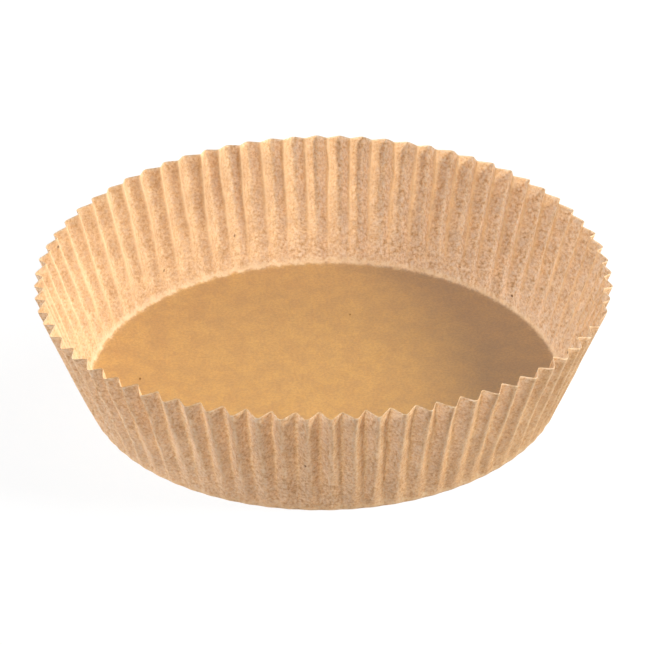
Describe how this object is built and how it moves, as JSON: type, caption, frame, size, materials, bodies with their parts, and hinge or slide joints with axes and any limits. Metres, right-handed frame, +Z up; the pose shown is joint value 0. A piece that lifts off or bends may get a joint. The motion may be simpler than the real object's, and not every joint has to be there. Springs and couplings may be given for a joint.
{
  "type": "air fryer paper liner",
  "caption": "Round dish-shaped paper liner with a flat floor and a leaning wall pressed into sharp folds, open at the top.",
  "frame": {"origin": "middle of the floor's underside", "axes": "+Z up out of the open top; X across the rim's wider sides; Y across its narrower front and back"},
  "size_m": [0.204, 0.196, 0.0469],
  "materials": {
    "unbleached_paper": "matte unbleached greaseproof paper with fine fibres"
  },
  "bodies": {
    "root": {"paper_liner": "unbleached_paper"}
  },
  "joints": []
}
